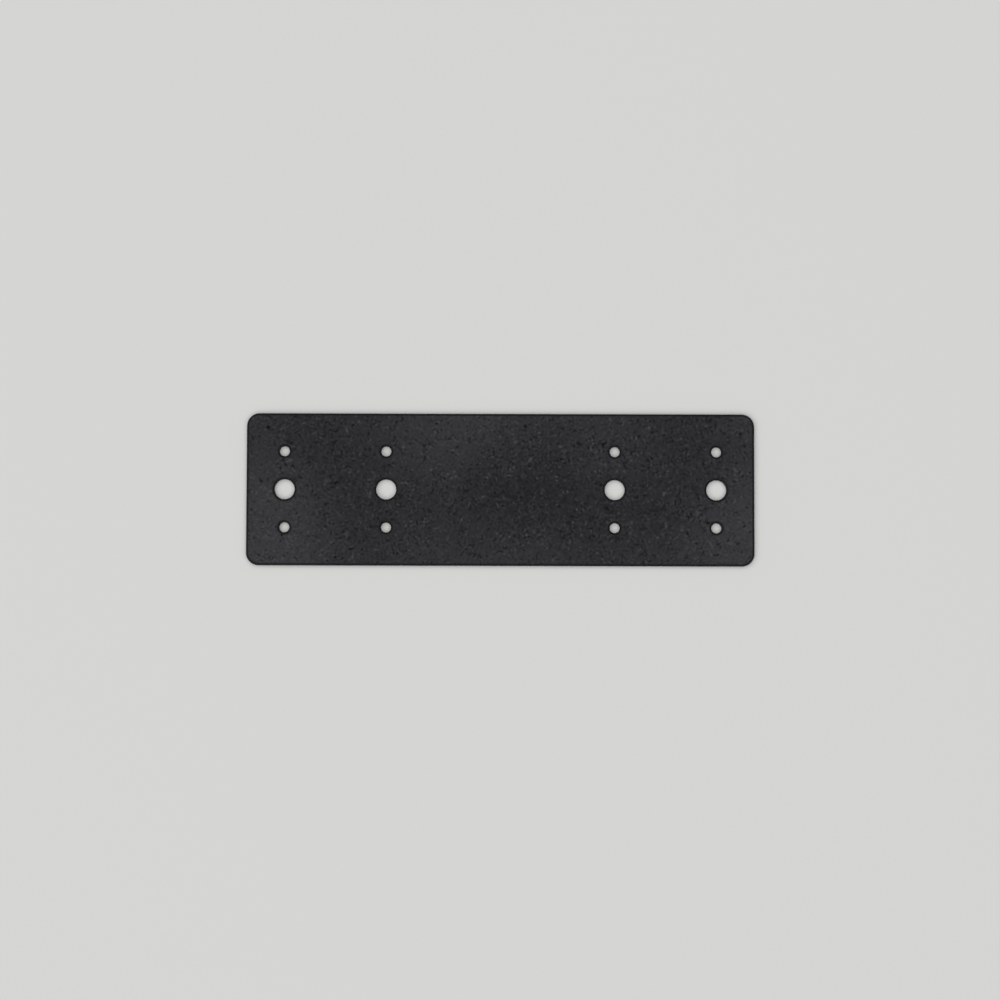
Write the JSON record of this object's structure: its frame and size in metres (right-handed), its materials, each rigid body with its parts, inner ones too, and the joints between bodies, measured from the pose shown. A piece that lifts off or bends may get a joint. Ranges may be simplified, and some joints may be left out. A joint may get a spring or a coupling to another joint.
{
  "type": "mending plate",
  "caption": "Flat rectangular black steel mending plate with rounded corners, punched with bolt and screw holes at both ends, to join two timbers end to end.",
  "frame": {"origin": "centre of the back face, which lies against the timbers", "axes": "+X along the length, +Y across the width, +Z out of the front face"},
  "size_m": [0.254, 0.0762, 0.003],
  "materials": {
    "black_powder_coat": "matte"
  },
  "bodies": {
    "root": {"mending_plate": "black_powder_coat"}
  },
  "joints": []
}
